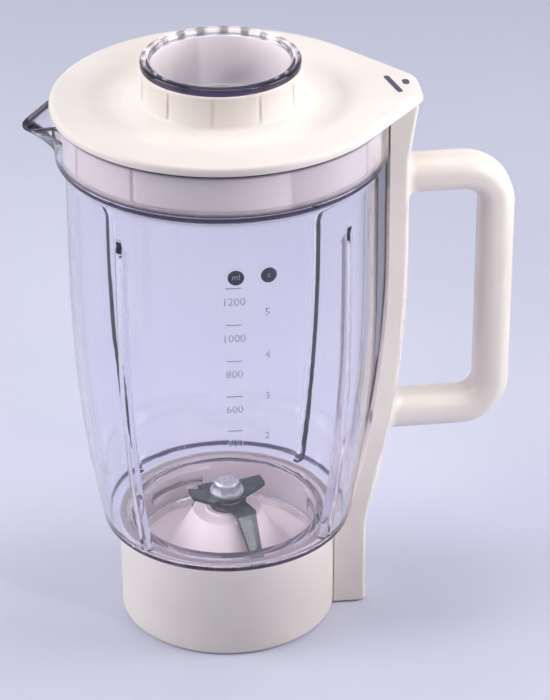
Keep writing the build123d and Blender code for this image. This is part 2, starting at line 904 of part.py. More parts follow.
def make_blade_nut():
    """Hexagon nut on the shaft's stud, with its top corners turned off."""
    body = Pos(0, 0, nut_level) * extrude(RegularPolygon(nut_width / 2, 6, major_radius=False), nut_height)
    top = nut_level + nut_height
    body &= turned(
        Polyline(
            (0, nut_level),
            (nut_width, nut_level),
            (nut_width, top - nut_chamfer),
            (nut_width / 2, top - nut_chamfer),
            (nut_width / 2 - nut_chamfer, top),
            (0, top),
            close=True,
        )
    )
    return body - disc(shaft_stud_radius, nut_level - overcut, nut_level + nut_height - nut_crown + fit_gap)


def make_shaft_clip():
    """Open clip in the shaft's groove."""
    low = clip_level + fit_gap / 2
    high = clip_level + clip_height - fit_gap / 2
    inner = clip_groove_radius + fit_gap
    return sector(inner, clip_radius, low, high, clip_gap_angle / 2, 360 - clip_gap_angle)


def make_drive_coupling():
    """Dog coupling on the lower end of the shaft."""
    coupling = disc(coupling_radius, coupling_bottom, coupling_bottom + coupling_plate)
    for index in range(dog_count):
        start = index * 360 / dog_count
        low = coupling_bottom - dog_height
        high = coupling_bottom + overlap
        coupling += sector(dog_inner_radius, coupling_radius, low, high, start, dog_angle)
    bore_floor = coupling_bottom + coupling_floor
    return coupling - disc(shaft_radius + bearing_gap, bore_floor, coupling_top + overcut)


def make_parts():
    """All pieces of the jar by node name."""
    seal_floor = boss_top - shaft_seal_height
    thrust_top = thrust_level + thrust_washer_height
    return {
        "goblet": make_goblet(),
        "spine_cover": make_spine_cover(),
        "handle": make_handle(),
        "handle_screws": make_handle_screws(),
        "interlock_rod": make_interlock_rod(),
        "rod_spring": make_rod_spring(),
        "lid": make_lid(),
        "lid_seal": make_lid_seal(),
        "filler_cap": make_filler_cap(),
        "base_collar": make_base_collar(),
        "blade_carrier": make_blade_carrier(),
        "sealing_ring": ring(neck_bore, lug_radius, carrier_top, neck_bottom),
        "upper_bush": make_bush(seal_floor - bush_length),
        "lower_bush": make_bush(boss_foot),
        "shaft_seal": ring(shaft_radius + bearing_gap, shaft_seal_radius, seal_floor, boss_top),
        "drive_shaft": make_drive_shaft(),
        "lower_blade": make_blade(
            lower_blade_level,
            lower_blade_bend,
            lower_blade_span,
            lower_blade_angle,
            lower_blade_turn,
            lower_blade_root,
            lower_blade_tip,
        ),
        "upper_blade": make_blade(
            upper_blade_level,
            upper_blade_bend,
            upper_blade_span,
            upper_blade_angle,
            upper_blade_turn,
            upper_blade_root,
            upper_blade_tip,
        ),
        "blade_spacer": ring(shaft_flat_radius + fit_gap, spacer_radius, spacer_level, upper_blade_level),
        "blade_washer": ring(shaft_stud_radius, washer_radius, washer_level, nut_level),
        "blade_nut": make_blade_nut(),
        "thrust_washer": ring(shaft_radius + fit_gap, thrust_washer_radius, thrust_level, thrust_top),
        "shaft_clip": make_shaft_clip(),
        "drive_coupling": make_drive_coupling(),
    }


os.makedirs("parts", exist_ok=True)
for name, solid in make_parts().items():
    export_step(solid, f"parts/{name}.step")
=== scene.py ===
from math import atan2, cos, radians, sin

import bmesh
import bpy
import numpy as np
from mathutils import Matrix, Vector


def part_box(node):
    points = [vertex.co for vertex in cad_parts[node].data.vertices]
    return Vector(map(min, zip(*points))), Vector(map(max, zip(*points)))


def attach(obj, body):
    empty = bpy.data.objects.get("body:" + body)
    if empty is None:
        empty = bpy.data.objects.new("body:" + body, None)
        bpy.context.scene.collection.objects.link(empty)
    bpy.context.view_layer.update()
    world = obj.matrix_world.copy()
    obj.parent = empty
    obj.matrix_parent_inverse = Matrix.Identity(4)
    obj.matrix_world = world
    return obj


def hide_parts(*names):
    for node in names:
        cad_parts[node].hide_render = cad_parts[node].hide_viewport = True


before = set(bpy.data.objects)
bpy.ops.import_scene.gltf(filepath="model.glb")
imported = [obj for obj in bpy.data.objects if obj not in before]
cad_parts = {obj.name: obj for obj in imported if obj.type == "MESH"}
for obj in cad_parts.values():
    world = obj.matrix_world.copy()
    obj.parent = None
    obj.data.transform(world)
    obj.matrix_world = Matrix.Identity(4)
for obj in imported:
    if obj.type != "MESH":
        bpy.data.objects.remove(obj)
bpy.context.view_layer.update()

# Camera
# A long lens a little over a metre in front of the jar, turned slightly to the spout's side and looking
# down on the lid. Its place is a distance and a height from the jar's axis at the table.
mm = 0.001
view_side = radians(-6.0)
view_distance = 1175 * mm
view_height = 764.2 * mm
view_yaw = radians(-0.999)
view_pitch = radians(28.762)
view_roll = radians(-0.3505)
lens_length = 169.05
heading = view_side + view_yaw
level_ahead = Vector((-sin(heading), cos(heading), 0))
ahead = level_ahead * cos(view_pitch) - Vector((0, 0, sin(view_pitch)))
level_right = Vector((cos(heading), sin(heading), 0))
level_up = level_right.cross(ahead)
right = level_right * cos(view_roll) + level_up * sin(view_roll)
up = level_up * cos(view_roll) - level_right * sin(view_roll)
lens = bpy.data.cameras.new("photo_lens")
lens.sensor_fit = "AUTO"
lens.sensor_width = 36
lens.lens = lens_length
lens.clip_start = 0.05
lens.clip_end = 50
camera = bpy.data.objects.new("photo_camera", lens)
bpy.context.scene.collection.objects.link(camera)
eye = Vector((sin(view_side) * view_distance, -cos(view_side) * view_distance, view_height))
camera.matrix_world = Matrix.Translation(eye) @ Matrix((right, up, -ahead)).transposed().to_4x4()
bpy.context.scene.camera = camera

# Base collar
# The cream ring that screws up under the goblet: an injection moulding with a satin, faintly grained skin.
# Inside it has a shelf for the blade carrier, bayonet catches and a plain socket for the power unit.


class Value:
    """A node's output that takes part in arithmetic: each operator adds one Math node."""

    def __init__(self, finish, socket):
        self.finish = finish
        self.socket = socket

    def math(self, operation, first, second):
        return self.finish.node("ShaderNodeMath", {"operation": operation}, {0: first, 1: second})

    def __add__(self, other):
        return self.math("ADD", self, other)

    __radd__ = __add__

    def __sub__(self, other):
        return self.math("SUBTRACT", self, other)

    def __rsub__(self, other):
        return self.math("SUBTRACT", other, self)

    def __mul__(self, other):
        return self.math("MULTIPLY", self, other)

    __rmul__ = __mul__

    def __pow__(self, other):
        return self.math("POWER", self, other)

    def bigger(self, other):
        return self.math("MAXIMUM", self, other)

    def rise(self, low, high):
        """Smooth step from 0 at low to 1 at high; with high below low it falls instead."""
        ends = {"Value": self, "From Min": low, "From Max": high}
        return self.finish.node("ShaderNodeMapRange", {"interpolation_type": "SMOOTHSTEP"}, ends)


class Finish:
    """A procedural material: node() adds a node, applies its settings, then its socket values or links."""

    def __init__(self, owner):
        self.owner = owner
        owner.use_nodes = True
        self.tree = owner.node_tree
        self.tree.nodes.clear()

    def node(self, kind, settings=None, sockets=None, output=0):
        made = self.tree.nodes.new(kind)
        for key, value in (settings or {}).items():
            setattr(made, key, value)
        for key, value in (sockets or {}).items():
            if isinstance(value, Value):
                self.tree.links.new(value.socket, made.inputs[key])
            else:
                made.inputs[key].default_value = value
        return Value(self, made.outputs[output])

    def place(self):
        """Object coordinates as one vector."""
        return self.node("ShaderNodeTexCoord", output="Object")

    def stretched(self, x, y, z):
        """Object coordinates scaled by a factor along each axis, so that a noise on them is drawn out."""
        return self.node("ShaderNodeMapping", sockets={0: self.place(), "Scale": (x, y, z)})

    def noise(self, scale, detail=2.0, vector=None):
        """Smooth noise between 0 and 1 with a number of grains per metre."""
        sockets = {"Vector": vector or self.place(), "Scale": scale, "Detail": detail}
        return self.node("ShaderNodeTexNoise", sockets=sockets)

    def mix(self, share, first, second):
        """Blend of two colours by a share."""
        return self.node("ShaderNodeMix", {"data_type": "RGBA"}, {0: share, 6: first, 7: second}, output=2)

    def bump(self, height, depth, strength=1.0):
        """Normal of a surface raised by a height between 0 and 1, times a depth in metres."""
        sockets = {"Strength": strength, "Distance": depth, "Height": height}
        return self.node("ShaderNodeBump", sockets=sockets)

    def looked_at(self):
        """1 for what is seen straight on, mirrored or through a clear wall, 0 for light on the jar."""
        straight = self.node("ShaderNodeLightPath", output="Is Camera Ray")
        mirrored = self.node("ShaderNodeLightPath", output="Is Glossy Ray")
        through = self.node("ShaderNodeLightPath", output="Is Transmission Ray")
        return straight.bigger(mirrored).bigger(through)

    def show(self, surface):
        """Ends the material in its output."""
        output = self.tree.nodes.new("ShaderNodeOutputMaterial")
        self.tree.links.new(surface.socket, output.inputs["Surface"])
        return self.owner


def tint(red, green, blue):
    """Colour written as screen values from 0 to 255, turned into linear light."""
    screen = np.array([red, green, blue]) / 255
    linear = np.where(screen <= 0.04045, screen / 12.92, ((screen + 0.055) / 1.055) ** 2.4)
    return (*linear.tolist(), 1.0)


def moulded_plastic(name, pale, darker, roughness):
    """Satin injection moulding: slow drifts of tone, faint specks, a fine grain and a soft gloss."""
    finish = Finish(bpy.data.materials.new(name))
    drift = finish.noise(18.0, 3.0)
    specks = finish.noise(900.0, 2.0).rise(0.66, 0.78)
    colour = finish.mix(drift.rise(0.3, 0.75), pale, darker)
    colour = finish.mix(specks * 0.10, colour, tint(196, 180, 166))
    grain = finish.noise(2600.0, 2.0)
    worn = finish.noise(60.0, 4.0).rise(0.35, 0.8)
    sockets = {
        "Base Color": colour,
        "Roughness": roughness + worn * 0.10,
        "Specular IOR Level": 0.42,
        "Normal": finish.bump(grain, 0.03 * mm, 0.35),
    }
    return finish.show(finish.node("ShaderNodeBsdfPrincipled", sockets=sockets))


def paint_node(name, material):
    """Gives a carried-over CAD node its finish."""
    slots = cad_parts[name].data.materials
    slots.clear()
    slots.append(material)


paint_node("base_collar", moulded_plastic("cream_base", tint(243, 236, 229), tint(232, 223, 216), 0.36))

# Blade carrier, seals and bearings
# The pale moulding that closes the goblet's floor, with the soft ring it is screwed against and the
# turned bushes and lip seal pressed into its boss.
paint_node("blade_carrier", moulded_plastic("pale_carrier", tint(250, 238, 236), tint(240, 224, 224), 0.30))


def soft_rubber(name, pale, darker):
    """Dull rubber: blotches of tone and a coarse skin."""
    finish = Finish(bpy.data.materials.new(name))
    blotch = finish.noise(120.0, 4.0)
    sockets = {
        "Base Color": finish.mix(blotch.rise(0.3, 0.7), pale, darker),
        "Roughness": 0.62 + blotch * 0.2,
        "Normal": finish.bump(finish.noise(1500.0, 3.0), 0.05 * mm, 0.4),
    }
    return finish.show(finish.node("ShaderNodeBsdfPrincipled", sockets=sockets))


pale_rubber = soft_rubber("pale_seal", tint(226, 218, 214), tint(205, 196, 194))
dark_rubber = soft_rubber("dark_seal", tint(62, 60, 64), tint(46, 44, 48))
paint_node("sealing_ring", pale_rubber)
paint_node("lid_seal", pale_rubber)
paint_node("shaft_seal", dark_rubber)
paint_node("drive_coupling", soft_rubber("dark_coupling", tint(58, 57, 60), tint(40, 39, 42)))


def turned_metal(name, pale, darker, roughness, along=(1.0, 1.0, 1.0)):
    """Bare metal with fine tool marks drawn out along one axis and a few dull patches."""
    finish = Finish(bpy.data.materials.new(name))
    marks = finish.noise(700.0, 3.0, finish.stretched(*along))
    dull = finish.noise(90.0, 3.0).rise(0.4, 0.8)
    sockets = {
        "Base Color": finish.mix(marks.rise(0.25, 0.75), pale, darker),
        "Metallic": 1.0,
        "Roughness": roughness + marks * 0.12 + dull * 0.10,
        "Normal": finish.bump(marks, 0.02 * mm, 0.25),
    }
    return finish.show(finish.node("ShaderNodeBsdfPrincipled", sockets=sockets))


bush_brass = turned_metal("bush_brass", tint(206, 176, 120), tint(184, 150, 96), 0.28, (1, 1, 6))
paint_node("upper_bush", bush_brass)
paint_node("lower_bush", bush_brass)

# Shaft, blades and fasteners
# A turned steel shaft carries two stamped and bent blades, clamped by a spacer, a washer and a nut.
# The blades have a rolled grain, and their steel is darkened and greened as a painted reflection of a
# dark room; the small parts are bright drawn steel.
shaft_steel = turned_metal("steel_shaft", tint(196, 198, 200), tint(168, 170, 174), 0.2, (1, 1, 8))
# painted reflection: dark greenish blade colour for the dark room the blades reflect
painted_dark_blade_steel = turned_metal("steel_blade", tint(108, 113, 109), tint(74, 79, 76), 0.28, (0.3, 4, 1))
small_steel = turned_metal("steel_small", tint(226, 226, 228), tint(196, 196, 200), 0.4)
paint_node("drive_shaft", shaft_steel)
for blade in ("lower_blade", "upper_blade"):
    paint_node(blade, painted_dark_blade_steel)
blade_clamps = ("blade_spacer", "blade_washer", "blade_nut")
other_small_steel = ("thrust_washer", "shaft_clip", "handle_screws", "rod_spring")
for small in blade_clamps + other_small_steel:
    paint_node(small, small_steel)

# Goblet
# The clear jar: injection moulded acrylic with a faint violet cast, turned about its axis and drawn out
# into a pouring spout. It has inner ribs, a tongue for the handle's spine and a bayonet neck.
goblet_low, goblet_high = (np.array(corner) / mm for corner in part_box("goblet"))
collar_high = np.array(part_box("base_collar")[1]) / mm
rim_level = goblet_high[2]
mouth_radius = goblet_high[1]
foot_level = collar_high[2]
neck_bottom = goblet_low[2]
spout_tip = -goblet_low[0]
wall = 2.6
band_height = 19.5
body_radius = mouth_radius - 4.0
body_arc = 550.0
widest_level = foot_level + 109.0
step_level = rim_level - band_height
ledge_level = step_level + 1.0
shoulder_rise = 3.0
foot_round = 2.5
floor_level = foot_level + wall
lug_radius = collar_high[1] - 3.2
neck_radius = lug_radius - 1.6
neck_bore = neck_radius - 2.8


def body_at(level, inset=0.0):
    """Radius of the goblet's wall at a level: straight above the widest level and an arc below it."""
    below = np.maximum(widest_level - level, 0.0)
    return body_radius - body_arc + np.sqrt((body_arc - inset) ** 2 - below**2)


def rounded(corners, steps=6):
    """Closed outline from corners (radius, level, rounding): each corner becomes a quadratic curve that
    leaves its two sides at the rounding's distance from the corner; points that coincide are dropped."""
    table = np.array(corners, float)
    points, reach = table[:, :2], table[:, 2]
    before = np.roll(points, 1, axis=0) - points
    after = np.roll(points, -1, axis=0) - points
    before *= (reach / np.linalg.norm(before, axis=1))[:, None]
    after *= (reach / np.linalg.norm(after, axis=1))[:, None]
    t = np.linspace(0, 1, steps)[None, :, None]
    corner = points[:, None]
    leaving, arriving = corner + before[:, None], corner + after[:, None]
    curve = (1 - t) ** 2 * leaving + 2 * t * (1 - t) * corner + t**2 * arriving
    outline = curve.reshape(-1, 2)
    return outline[np.linalg.norm(outline - np.roll(outline, 1, axis=0), axis=1) > 1e-4]


def spread(outline, spacing):
    """Closed outline with points added along its sides, so that none is longer than a spacing."""
    closed = np.vstack([outline, outline[:1]])
    along = np.concatenate([[0], np.cumsum(np.linalg.norm(np.diff(closed, axis=0), axis=1))])
    extra = np.linspace(0, along[-1], int(along[-1] / spacing))
    extra = extra[np.abs(extra[:, None] - along[None]).min(axis=1) > 0.3 * spacing]
    where = np.sort(np.concatenate([along[:-1], extra]))
    return np.stack([np.interp(where, along, closed[:, axis]) for axis in range(2)], axis=1)


def turns(count, *clusters):
    """Angles round the axis in radians: an even count and, between, clusters of (middle, half, number)."""
    angles = [np.linspace(0, 360, count, endpoint=False)]
    angles += [(middle + np.linspace(-half, half, number)) % 360 for middle, half, number in clusters]
    return np.radians(np.unique(np.round(np.concatenate(angles), 3)))


def off_nearest(angle, middles):
    """Angle in radians from the nearest of some middles given in degrees."""
    return np.abs((angle[..., None] - np.radians(middles) + np.pi) % (2 * np.pi) - np.pi).min(axis=-1)


def step_up(value, low, high):
    """Smooth step from 0 at low to 1 at high, on arrays."""
    share = np.clip((value - low) / (high - low), 0, 1)
    return share * share * (3 - 2 * share)


def smooth_max(first, second, softness):
    """Larger of two arrays, with the crease where they cross filled by a fillet of about the softness."""
    gap = np.clip(1 - np.abs(first - second) / softness, 0, 1)
    return np.maximum(first, second) + 0.25 * softness * gap * gap


def grid_faces(rows, columns, close_rows, close_columns):
    """Corner numbers of the quads between neighbouring points of a grid, closed on itself where asked."""
    index = np.arange(rows * columns).reshape(rows, columns)
    if close_rows:
        index = np.vstack([index, index[:1]])
    if close_columns:
        index = np.hstack([index, index[:, :1]])
    corners = [index[:-1, :-1], index[:-1, 1:], index[1:, 1:], index[1:, :-1]]
    return np.stack(corners, axis=-1).reshape(-1, 4)


def add_piece(name, parts, material, body, sharp=40.0, painted_edge_shade=None):
    """Piece from parts of (points in millimetres, faces): welded, turned outwards and shaded smooth up to an
    angle. A painted edge shade is a value per point, the share of painted shade that its material can read."""
    starts = np.cumsum([0] + [len(points) for points, faces in parts])
    vertices = np.concatenate([points for points, faces in parts]) * mm
    faces = [corners for start, (points, quads) in zip(starts, parts) for corners in (quads + start).tolist()]
    mesh = bpy.data.meshes.new(name)
    mesh.from_pydata(vertices.tolist(), [], faces)
    if painted_edge_shade is not None:
        mesh.attributes.new("painted_edge_shade", "FLOAT", "POINT").data.foreach_set("value", painted_edge_shade.ravel())
    weld = bmesh.new()
    weld.from_mesh(mesh)
    bmesh.ops.remove_doubles(weld, verts=weld.verts, dist=1e-7)
    bmesh.ops.recalc_face_normals(weld, faces=weld.faces)
    weld.to_mesh(mesh)
    weld.free()
    mesh.materials.append(material)
    mesh.shade_smooth()
    mesh.set_sharp_from_angle(angle=radians(sharp))
    piece = bpy.data.objects.new(name, mesh)
    bpy.context.scene.collection.objects.link(piece)
    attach(piece, body)
    return piece


def turned_grid(radius, level, angle):
    """Points of a surface of revolution whose radius and level may change with the angle."""
    points = np.stack(np.broadcast_arrays(radius * np.cos(angle), radius * np.sin(angle), level), axis=-1)
    return points.reshape(-1, 3)


def goblet_profile():
    """Section of the goblet's wall, outside from the neck up to the rim and inside down again; the long
    stretches follow the body's arc. Also says which points lie outside."""
    rise = np.linspace(foot_level + 6.0, widest_level, 14)
    outer_arc = [(radius, level, 0.0) for radius, level in zip(body_at(rise), rise)]
    inner_arc = [(radius, level, 0.0) for radius, level in zip(body_at(rise, wall), rise)][::-1]
    foot_ring = [(body_at(level), level, 0.0) for level in foot_level + np.linspace(2.7, 4.7, 6)]
    step_ring = [(mouth_radius, level, 0.0) for level in step_level + np.linspace(0.7, 2.7, 6)]
    band_rows = [(mouth_radius, level, 0.0) for level in np.linspace(step_level + 4.2, rim_level - 2.0, 9)]
    ledge_rise = np.linspace(rim_level - 2.0, ledge_level + 0.7, 12)
    ledge_ring = [(mouth_radius - wall, level, 0.0) for level in ledge_rise]
    rib_rows = [(body_radius - wall, level, 0.0) for level in step_level - np.linspace(17.6, 24.6, 8)]
    corners = [
        (neck_bore, neck_bottom, 0.8),
        (neck_radius, neck_bottom, 0.8),
        (neck_radius, foot_level, 0.5),
        (body_at(foot_level), foot_level, foot_round),
        *foot_ring,
        *outer_arc,
        (body_radius, step_level - shoulder_rise, 1.5),
        (mouth_radius, step_level, 0.6),
        *step_ring,
        *band_rows,
        (mouth_radius, rim_level, 0.9),
        (mouth_radius - wall, rim_level, 0.9),
        *ledge_ring,
        (mouth_radius - wall, ledge_level, 0.5),
        (body_radius - wall, ledge_level, 0.8),
        *rib_rows,
        *inner_arc,
        (body_at(floor_level, wall), floor_level, 1.8),
        (neck_bore, floor_level, 0.9),
    ]
    outline = spread(rounded(corners), 3.0)
    crown = np.flatnonzero(outline[:, 1] > rim_level - 1e-6)
    past_rim = crown[outline[crown, 0] < mouth_radius - wall / 2].min()
    return outline, np.arange(len(outline)) < past_rim


def spout_edge(angle, reach, tip_round):
    """Plan of the spout as a radius over the angle from its middle: two lines at 39 degrees to its middle
    plane, tangent to a round tip whose front lies at the reach."""
    half = radians(39.0)
    centre = reach - tip_round
    apex = centre + tip_round / sin(half)
    lines = apex * sin(half) / np.sin(half + np.minimum(angle, half))
    inside = np.maximum(tip_round**2 - (centre * np.sin(angle)) ** 2, 0.0)
    round_tip = centre * np.cos(angle) + np.sqrt(inside)
    on_tip = angle < np.arctan2(tip_round * cos(half), centre + tip_round * sin(half))
    return np.where(on_tip, round_tip, lines)


def goblet_grid():
    """Goblet wall as radius and level over profile and angle: the turned section, pushed out to the spout in
    the band, in at the ribs, and out at the bayonet lugs and the tongue."""
    outline, outside = goblet_profile()
    radius, level = outline[:, :1], outline[:, 1:]
    outside = outside[:, None]
    rib_angles = np.array([42.0, 138.0, 222.0, 318.0])
    lug_angles = (0, 120, 240)
    lug_half = 20
    clusters = [(middle, 2.4, 17) for middle in rib_angles]
    clusters += [(180, 46, 93), (180, 7, 41), (0, 3.6, 25)]
    clusters += [(middle, 0.6, 5) for lug in lug_angles for middle in (lug - lug_half, lug + lug_half)]
    angle = turns(180, *clusters)[None]
    wide = np.broadcast_to(radius, (len(outline), angle.shape[1])).copy()

    # spout
    off_spout = np.abs(angle - np.pi)
    height = np.clip((level - step_level) / band_height, 0, 1)
    spout_wall = 2.2
    spout_droop = 4.7
    spout_root = mouth_radius + 1.0
    foot_tip, lip_tip = 3.0, 8.0
    lip = spout_edge(off_spout, spout_tip, lip_tip)
    droop = spout_droop * np.clip((lip * np.cos(off_spout) - spout_root) / (spout_tip - spout_root), 0, 1)
    share = np.minimum(height * (band_height - droop) / (band_height - spout_droop), 1.0)
    tip = foot_tip + (lip_tip - foot_tip) * share
    reach = mouth_radius - 1.0 + (spout_tip - mouth_radius + 1.0) * share**1.7
    band_face = np.where(outside, mouth_radius, mouth_radius - wall)
    depth = np.where(outside, 0.0, spout_wall)
    edge = spout_edge(off_spout, reach - depth, tip - depth)
    in_band = np.where(outside, level >= step_level, level >= ledge_level)
    pushed = smooth_max(band_face, edge, 3.0 * height + 0.01) + (radius - band_face)
    wide = np.where(in_band, np.maximum(pushed, wide), wide)
    tall = level - droop * height

    # ribs inside
    rib_top = step_level - 18.0
    rib_taper = 6.0
    rib_height = 3.4
    rib_foot_half, rib_crest_half = 1.75, 1.25
    taper = np.clip((rib_top - level) / rib_taper, 0, 1) * (~outside) * (level > floor_level - 0.01)
    across = off_nearest(angle, rib_angles) * (body_at(level) - wall)
    rib = step_up(across, rib_foot_half, rib_crest_half) * taper
    wide = wide - rib_height * rib * (wide > neck_bore + rib_height + 0.2)

    # bayonet lugs on the neck
    lug_top = foot_level - 6.5
    lug_height = 4.0
    soft = 0.2
    lug_bottom = lug_top - lug_height
    on_lug = (off_nearest(angle, lug_angles) < radians(lug_half)) * outside
    on_lug = on_lug * step_up(level, lug_bottom - soft, lug_bottom + soft)
    on_lug = on_lug * step_up(level, lug_top + soft, lug_top - soft)
    wide = wide + (lug_radius - neck_radius) * on_lug

    # tongue for the spine
    spine_face = mouth_radius - 0.4
    spine_arc = 450.0
    spine_bend_level = foot_level + 117.5
    tongue_depth = 1.7
    tongue_low = foot_level + 24.0
    tongue_high = step_level - 4.5
    drop = np.maximum(spine_bend_level - level, 0.0)
    tongue_face = spine_face - spine_arc + np.sqrt(spine_arc**2 - drop**2) + tongue_depth
    on_tongue = step_up(np.abs(wide * np.sin(angle)), 3.1, 2.8) * (np.cos(angle) > 0) * outside
    on_tongue = on_tongue * step_up(level, tongue_low - soft, tongue_low + soft)
    on_tongue = on_tongue * step_up(level, tongue_high + soft, tongue_high - soft)
    wide = wide + on_tongue * np.maximum(tongue_face / np.maximum(np.cos(angle), 0.5) - wide, 0)

    # painted shade in dark violet where the clear plastic looks dark at its edges: the step, the foot,
    # the band, the lip, the spout's keel and the tongue
    above_step, above_foot = level - step_level, level - foot_level
    step_shade = step_up(above_step, -1.5, 0.0) * step_up(above_step, 2.1, 1.5)
    foot_shade = step_up(above_foot, 0.0, 0.8) * step_up(above_foot, 3.6, 3.0)
    lip_shade = step_up(level, rim_level - 1.5, rim_level - 0.8)
    keel_shade_width = 2.0 + 1.6 * share
    keel_shade = step_up(off_spout * mouth_radius, 1.3 * keel_shade_width, keel_shade_width) * step_up(height, 0.0, 0.1)
    tongue_shade = 0.55 * step_up(np.cos(angle), 0.988, 0.994) * step_up(above_foot, 20, 30)
    spout_start, spout_sure = 67.0, 70.0
    # painted shade on the band darkens the lid's skirt seen through it; it is left off at the spout
    band_shade = 0.25 * step_up(above_step, 1.5, 3.0) * step_up(lip, spout_sure, spout_start)
    outer_shades = [foot_shade * outside, band_shade * outside, tongue_shade * outside]
    painted_edge_shade = np.maximum.reduce(np.broadcast_arrays(step_shade, lip_shade, keel_shade, *outer_shades))
    return (turned_grid(wide, tall, angle), grid_faces(*wide.shape, True, True)), painted_edge_shade


def clear_acrylic(name, pane_tint):
    """Clear acrylic with a faint violet cast, fine rubbed scratches and a slightly rippled skin, and painted
    shade in dark violet at edges and moulded rings. Lamps shine through it as through a clear, tinted pane."""
    finish = Finish(bpy.data.materials.new(name))
    # painted shade: the points' painted edge shade mixes the clear colour toward dark violet
    darker = finish.node("ShaderNodeAttribute", {"attribute_name": "painted_edge_shade"}, output="Fac")
    clear = tint(249, 247, 253)
    painted_shade_violet = tint(22, 12, 36)
    rubbed = finish.noise(520.0, 4.0, finish.stretched(1, 1, 0.12)).rise(0.58, 0.8)
    ripple = finish.noise(34.0, 2.0, finish.stretched(1, 1, 0.35))
    sockets = {
        "Base Color": finish.mix(darker, clear, painted_shade_violet),
        "Roughness": 0.015 + rubbed * 0.06,
        "IOR": 1.49,
        "Transmission Weight": 1.0,
        "Specular IOR Level": 0.5,
        "Normal": finish.bump(ripple, 0.3 * mm, 0.12),
    }
    glass = finish.node("ShaderNodeBsdfPrincipled", sockets=sockets)
    pane = finish.node("ShaderNodeBsdfTransparent", sockets={"Color": pane_tint})
    lamp = finish.node("ShaderNodeLightPath", output="Is Shadow Ray")
    surface = finish.node("ShaderNodeMixShader", sockets={0: lamp, 1: glass, 2: pane})
    return finish.show(surface)


acrylic = clear_acrylic("clear_acrylic", (0.86, 0.85, 0.89, 1.0))
goblet_surface, goblet_painted_shade = goblet_grid()
goblet_parts = [goblet_surface]
goblet = add_piece("goblet_shell", goblet_parts, acrylic, "goblet", painted_edge_shade=goblet_painted_shade)
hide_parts("goblet")

# Printed scale
# Ink screen printed on the front of the goblet: a pale column of millilitres and one of cups, each under
# a dark disc with a pale unit sign.
ink = Finish(bpy.data.materials.new("scale_ink"))
worn_ink = ink.noise(700.0, 3.0).rise(0.62, 0.8)
ink_look = {
    "Base Color": ink.mix(worn_ink * 0.5, tint(74, 72, 88), tint(150, 148, 168)),
    "Roughness": 0.5 + worn_ink * 0.2,
}
scale_ink = ink.show(ink.node("ShaderNodeBsdfPrincipled", sockets=ink_look))
faint = Finish(bpy.data.materials.new("faint_ink"))
faint_spots = faint.noise(900.0, 3.0)
faint_look = {
    "Base Color": faint.mix(faint_spots, tint(168, 168, 188), tint(190, 190, 208)),
    "Roughness": 0.5 + faint_spots * 0.2,
}
faint_ink = faint.show(faint.node("ShaderNodeBsdfPrincipled", sockets=faint_look))
print_lift = 0.12


def on_wall(across, height, side, level, lift=print_lift):
    """Flat print laid on the goblet: across becomes arc length from a side angle, height adds to a level."""
    tall = level + height
    radius = body_at(tall) + lift
    angle = np.radians(side - 90.0) + across / body_radius
    return turned_grid(radius, tall, angle)


def printed_text(words, size, side, level, lift=print_lift):
    """Numerals or letters of a plain sans face, made a mesh and laid on the wall."""
    curve = bpy.data.curves.new("numerals", "FONT")
    curve.body = words
    curve.size = size
    curve.align_x = "CENTER"
    curve.align_y = "CENTER"
    curve.resolution_u = 3
    flat = bpy.data.objects.new("numerals", curve)
    bpy.context.scene.collection.objects.link(flat)
    shape = bpy.data.meshes.new_from_object(flat.evaluated_get(bpy.context.evaluated_depsgraph_get()))
    bpy.data.objects.remove(flat)
    points = np.zeros(3 * len(shape.vertices))
    shape.vertices.foreach_get("co", points)
    points = points.reshape(-1, 3)
    shape.calc_loop_triangles()
    corners = np.zeros(3 * len(shape.loop_triangles), int)
    shape.loop_triangles.foreach_get("vertices", corners)
    return on_wall(points[:, 0], points[:, 1], side, level, lift), corners.reshape(-1, 3)


def printed_dash(width, height, side, level):
    """Short bar of the scale: a flat grid laid on the wall."""
    columns, rows = 7, 3
    widths, heights = np.linspace(-width / 2, width / 2, columns), np.linspace(-height / 2, height / 2, rows)
    across, tall = np.meshgrid(widths, heights)
    return on_wall(across.ravel(), tall.ravel(), side, level), grid_faces(rows, columns, False, False)


def printed_disc(radius, side, level):
    """Round mark: rings about its middle, laid on the wall."""
    rings, columns = 6, 32
    ring = (np.linspace(0.02, 1, rings) * radius)[:, None]
    angle = np.linspace(0, 2 * np.pi, columns, endpoint=False)[None]
    points = on_wall((ring * np.cos(angle)).ravel(), (ring * np.sin(angle)).ravel(), side, level)
    return points, grid_faces(rings, columns, False, True)


left_column, right_column = -2.6, 9.6
left_disc, right_disc = -1.7, 10.2
disc_level = 184.7
disc_radius = 3.2
sign_level = 184.9
sign_size = 3.4
numeral_size = 4.6
dash_width, dash_height = 6.0, 0.5
dash_rise = 6.0
first_mark, mark_spacing = 174.2, 15.9
first_cup, cup_spacing = 168.7, 18.6
dark_marks = [printed_disc(disc_radius, side, disc_level) for side in (left_disc, right_disc)]
pale_marks = [
    printed_text("ml", sign_size, left_disc, sign_level, 2 * print_lift),
    printed_text("c", sign_size, right_disc, sign_level, 2 * print_lift),
]
for index, words in enumerate(("1200", "1000", "800", "600", "400")):
    pale_marks.append(printed_text(words, numeral_size, left_column, first_mark - index * mark_spacing))
    dash_level = first_mark + dash_rise - index * mark_spacing
    pale_marks.append(printed_dash(dash_width, dash_height, left_column, dash_level))
for index, words in enumerate(("5", "4", "3", "2")):
    pale_marks.append(printed_text(words, numeral_size, right_column, first_cup - index * cup_spacing))
prints = [("scale_discs", dark_marks, scale_ink), ("scale_numerals", pale_marks, faint_ink)]
for name, marks, print_material in prints:
    printed = add_piece(name, marks, print_material, "goblet")
    layer = printed.modifiers.new("ink_film", "SOLIDIFY")
    layer.thickness = 0.05 * mm
    layer.offset = 0.0

